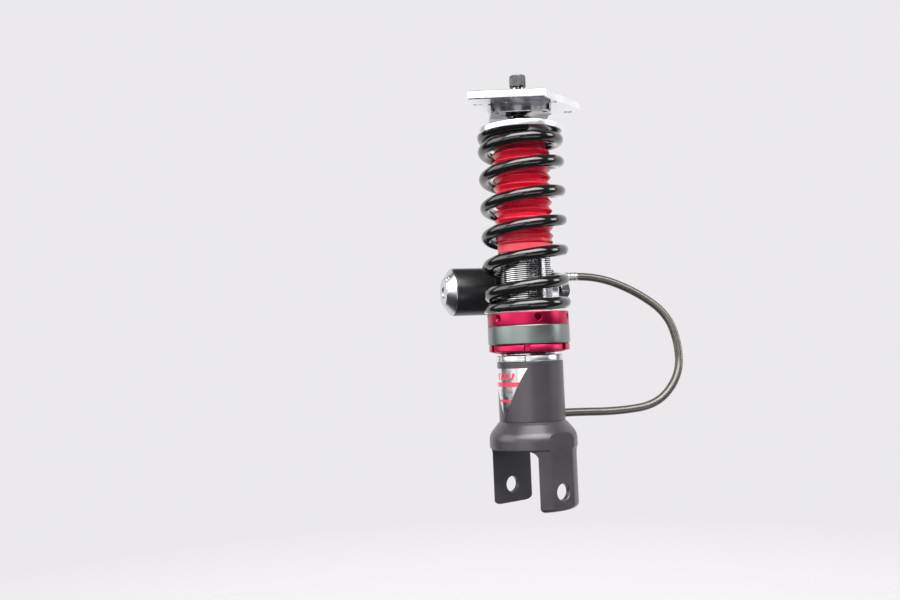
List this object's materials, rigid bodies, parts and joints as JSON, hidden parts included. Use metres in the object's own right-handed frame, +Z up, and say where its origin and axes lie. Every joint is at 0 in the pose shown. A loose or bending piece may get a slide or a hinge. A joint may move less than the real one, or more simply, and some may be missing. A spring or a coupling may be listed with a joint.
{
  "type": "coilover",
  "caption": "Monotube coilover damper with clevis fork, black coil spring, red bellows, pillow-ball top plate, threaded spring perch and remote oil reservoir on a hose.",
  "frame": {"origin": "centre of the lower clevis bore, midway between the fork's two ears", "axes": "+X along the clevis bolt, +Z up the damper's axis towards the top plate"},
  "size_m": [0.1651, 0.271, 0.4419],
  "materials": {
    "fork_coat": "satin black powder coat",
    "label_foil": "printed foil",
    "zinc_plate": "bright zinc plate",
    "red_anodise": "red anodised",
    "grey_anodise": "grey hard anodised",
    "nylon": "moulded",
    "spring_coat": "gloss black powder coat",
    "steel": "turned",
    "seal_rubber": "moulded",
    "plain_aluminium": "turned",
    "red_cup": "moulded",
    "red_rubber": "moulded",
    "hard_chrome": "ground and polished",
    "bump_foam": "microcellular foam",
    "bright_aluminium": "machined, clear anodised",
    "black_oxide": "black oxide",
    "gunmetal": "dark plated",
    "knob_grey": "dark anodised, knurled",
    "reservoir_black": "satin black anodise",
    "copper": "annealed copper",
    "smoked_braid": "smoked braided hose"
  },
  "bodies": {
    "damper": {"lower_fork": "fork_coat", "label": "label_foil", "fork_lock_ring": "zinc_plate", "damper_tube": "zinc_plate", "base_plug": "steel", "base_plug_o_ring": "seal_rubber", "seal_head": "plain_aluminium", "seal_head_o_ring": "seal_rubber", "rod_guide_bush": "nylon", "rod_seal": "seal_rubber", "rod_wiper": "seal_rubber", "boot_cup": "red_cup", "dust_boot": "red_rubber", "reservoir_tube": "reservoir_black", "reservoir_cap": "bright_aluminium", "gas_fill_screw": "steel", "reservoir_head": "bright_aluminium", "reservoir_o_ring": "seal_rubber", "compression_valve": "black_oxide", "reservoir_union": "zinc_plate", "reservoir_ferrule": "zinc_plate", "banjo_fitting": "zinc_plate", "banjo_washers": "copper", "banjo_bolt": "zinc_plate", "banjo_ferrule": "zinc_plate", "oil_hose": "smoked_braid", "reservoir_bracket": "black_oxide", "bracket_screws": "black_oxide", "reservoir_clamps": "black_oxide", "clamp_screws": "black_oxide", "clamp_nuts": "black_oxide"},
    "perch": {"spring_collar": "grey_anodise", "spring_washer": "nylon", "coil_spring": "spring_coat"},
    "perch_rings": {"upper_perch_ring": "red_anodise", "lower_lock_ring": "red_anodise"},
    "rod": {"piston_rod": "hard_chrome", "adjuster_push_rod": "steel", "piston": "plain_aluminium", "piston_band": "nylon", "compression_shims": "steel", "rebound_shims": "steel", "piston_nut": "steel", "rebound_stop": "steel", "bump_stop": "bump_foam", "upper_spring_seat": "bright_aluminium", "seat_nut": "black_oxide", "pillow_ball": "hard_chrome", "rod_washer": "zinc_plate", "rod_nut": "zinc_plate"},
    "bearing_liner": {"bearing_liner": "nylon"},
    "bearing_block": {"bearing_race": "steel", "bearing_block": "gunmetal", "race_circlip": "steel", "mount_screws": "black_oxide"},
    "top_plate": {"top_plate": "bright_aluminium"},
    "rebound_knob": {"rebound_knob": "knob_grey"},
    "compression_knob": {"compression_knob": "knob_grey"},
    "floating_piston": {"floating_piston": "plain_aluminium", "floating_piston_ring": "seal_rubber"}
  },
  "joints": [
    {"name": "perch_height", "type": "slide", "parent": "damper", "child": "perch", "axis": [0, 0, 1], "range_m": [0, 0.008]},
    {"name": "perch_ring_turn", "type": "hinge", "parent": "perch", "child": "perch_rings", "pos_m": [0, 0, 0.155], "axis": [0, 0, 1], "range_deg": [0, 1440]},
    {"name": "rod_stroke", "type": "slide", "parent": "perch", "child": "rod", "axis": [0, 0, 1], "range_m": [-0.06, 0], "stiffness_N_per_m": 60000, "springref_m": 0.008, "deforming": ["coil_spring", "dust_boot"]},
    {"name": "mount_swivel", "type": "hinge", "parent": "rod", "child": "bearing_liner", "pos_m": [0, 0, 0.387], "axis": [0, 0, 1], "continuous": true},
    {"name": "mount_tilt", "type": "hinge", "parent": "bearing_liner", "child": "bearing_block", "pos_m": [0, 0, 0.387], "axis": [0.592, 0.8059, 0], "range_deg": [-6, 6]},
    {"name": "camber_slide", "type": "slide", "parent": "bearing_block", "child": "top_plate", "axis": [0.592, 0.8059, 0], "range_m": [-0.01, 0.006]},
    {"name": "rebound_click", "type": "hinge", "parent": "rod", "child": "rebound_knob", "pos_m": [0, 0, 0.417], "axis": [0, 0, 1], "range_deg": [-360, 360]},
    {"name": "compression_click", "type": "hinge", "parent": "damper", "child": "compression_knob", "pos_m": [-0.04538, 0.09283, 0.205], "axis": [0.3633, 0.9317, 0], "range_deg": [-360, 360]},
    {"name": "floating_piston_slide", "type": "slide", "parent": "damper", "child": "floating_piston", "axis": [-0.3633, -0.9317, 0], "range_m": [0, 0.006]}
  ],
  "couplings": [
    {"joint": "perch_ring_turn", "follows": "perch_height", "rad_per_m": 3141.6},
    {"joint": "floating_piston_slide", "follows": "rod_stroke", "ratio": -0.08873}
  ]
}
